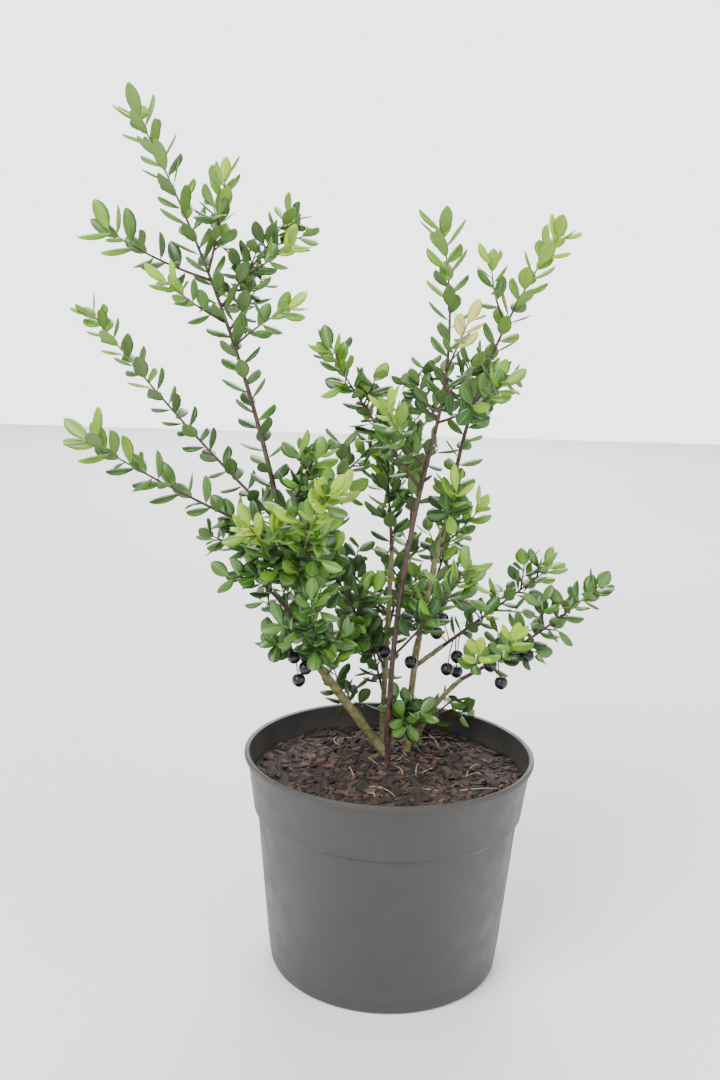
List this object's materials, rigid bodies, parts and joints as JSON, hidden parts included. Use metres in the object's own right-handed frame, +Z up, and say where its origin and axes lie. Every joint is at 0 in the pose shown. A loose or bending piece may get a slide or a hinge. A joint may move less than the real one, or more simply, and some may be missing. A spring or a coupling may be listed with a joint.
{
  "type": "potted convexa japanese holly shrub",
  "caption": "Young multi-stemmed evergreen shrub with small domed leaves and round dark berries, planted in a thin round nursery pot.",
  "frame": {"origin": "middle of the pot's flat underside", "axes": "+Z up, +X to the plant's right seen from the front, +Y away from the viewer"},
  "size_m": [0.3178, 0.2031, 0.5001],
  "materials": {
    "pot_plastic": "matte moulded, lightly scuffed",
    "compost": "loose crumbly bark compost",
    "olive_bark": "smooth young bark with fine pores",
    "brown_bark": "smooth purple-brown young bark",
    "foliage": "glossy evergreen leaves"
  },
  "bodies": {
    "root": {"pot": "pot_plastic", "compost": "compost", "stem_left": "olive_bark", "stem_middle": "brown_bark", "stem_back": "olive_bark", "stem_right": "olive_bark", "stem_low_right": "olive_bark", "bough_upper_left": "brown_bark", "bough_lower_left": "brown_bark", "bough_right": "olive_bark", "foliage_top_left": "foliage", "foliage_high_left": "foliage", "foliage_low_left": "foliage", "foliage_small_left": "foliage", "foliage_front_left": "foliage", "foliage_front_middle": "foliage", "foliage_inner": "foliage", "foliage_inner_front": "foliage", "foliage_behind_left": "foliage", "foliage_behind_low": "foliage", "foliage_lower_left": "foliage", "foliage_lower_front": "foliage", "foliage_berry_left": "foliage", "foliage_front_low": "foliage", "foliage_foot_left": "foliage", "foliage_centre": "foliage", "foliage_centre_low": "foliage", "foliage_centre_back": "foliage", "foliage_behind_middle": "foliage", "foliage_behind_foot": "foliage", "foliage_back_stem": "foliage", "foliage_middle_left": "foliage", "foliage_middle_front": "foliage", "foliage_middle_back": "foliage", "foliage_top_middle": "foliage", "foliage_top_right": "foliage", "foliage_right_front": "foliage", "foliage_right_side": "foliage", "foliage_right_back": "foliage", "foliage_right_inner": "foliage", "foliage_right_low": "foliage", "foliage_right_foot": "foliage", "foliage_far_foot": "foliage", "foliage_right": "foliage", "foliage_far_right": "foliage"}
  },
  "joints": []
}
